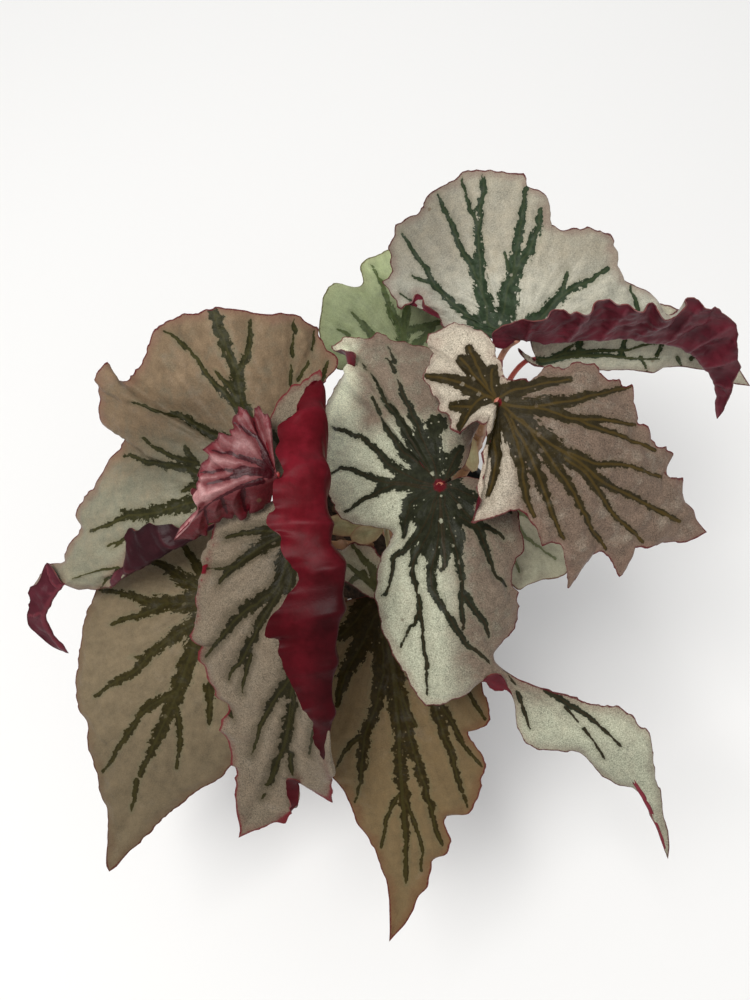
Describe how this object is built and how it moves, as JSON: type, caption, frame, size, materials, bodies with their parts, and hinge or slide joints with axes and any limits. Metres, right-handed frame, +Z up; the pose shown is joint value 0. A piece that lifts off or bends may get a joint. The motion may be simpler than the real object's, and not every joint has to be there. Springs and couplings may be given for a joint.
{
  "type": "potted angel wing begonia",
  "caption": "Cane begonia in a round nursery pot: large lopsided silver leaves with dark veins, held on slender leaf stalks from upright canes.",
  "frame": {"origin": "centre of the underside of the pot, where it rests", "axes": "+Z up along the pot's axis, -Y towards the side with the longest hanging leaves, +X to the right seen from that side"},
  "size_m": [0.3425, 0.311, 0.3045],
  "materials": {
    "pot": "satin",
    "soil": "matte",
    "cane": "satin",
    "petiole": "satin",
    "blade": "satin",
    "blade_pale": "satin",
    "blade_young": "gloss",
    "stipule": "matte"
  },
  "bodies": {
    "root": {"blade_back_right": "blade", "blade_back_low": "blade", "blade_top_right": "blade", "blade_centre": "blade", "blade_left": "blade", "blade_rolled": "blade", "blade_young": "blade_young", "blade_front_left": "blade", "blade_front": "blade", "blade_back": "blade_pale", "blade_right_low": "blade_pale", "blade_small_front": "blade", "stipule_left": "stipule", "stipule_centre": "stipule", "stipule_right": "stipule", "petiole_back_right": "petiole", "petiole_back_low": "petiole", "petiole_top_right": "petiole", "petiole_centre": "petiole", "petiole_left": "petiole", "petiole_rolled": "petiole", "petiole_young": "petiole", "petiole_front_left": "petiole", "petiole_front": "petiole", "petiole_back": "petiole", "petiole_right_low": "petiole", "petiole_small_front": "petiole", "cane_left": "cane", "cane_centre": "cane", "cane_right": "cane", "pot": "pot", "soil": "soil"}
  },
  "joints": []
}
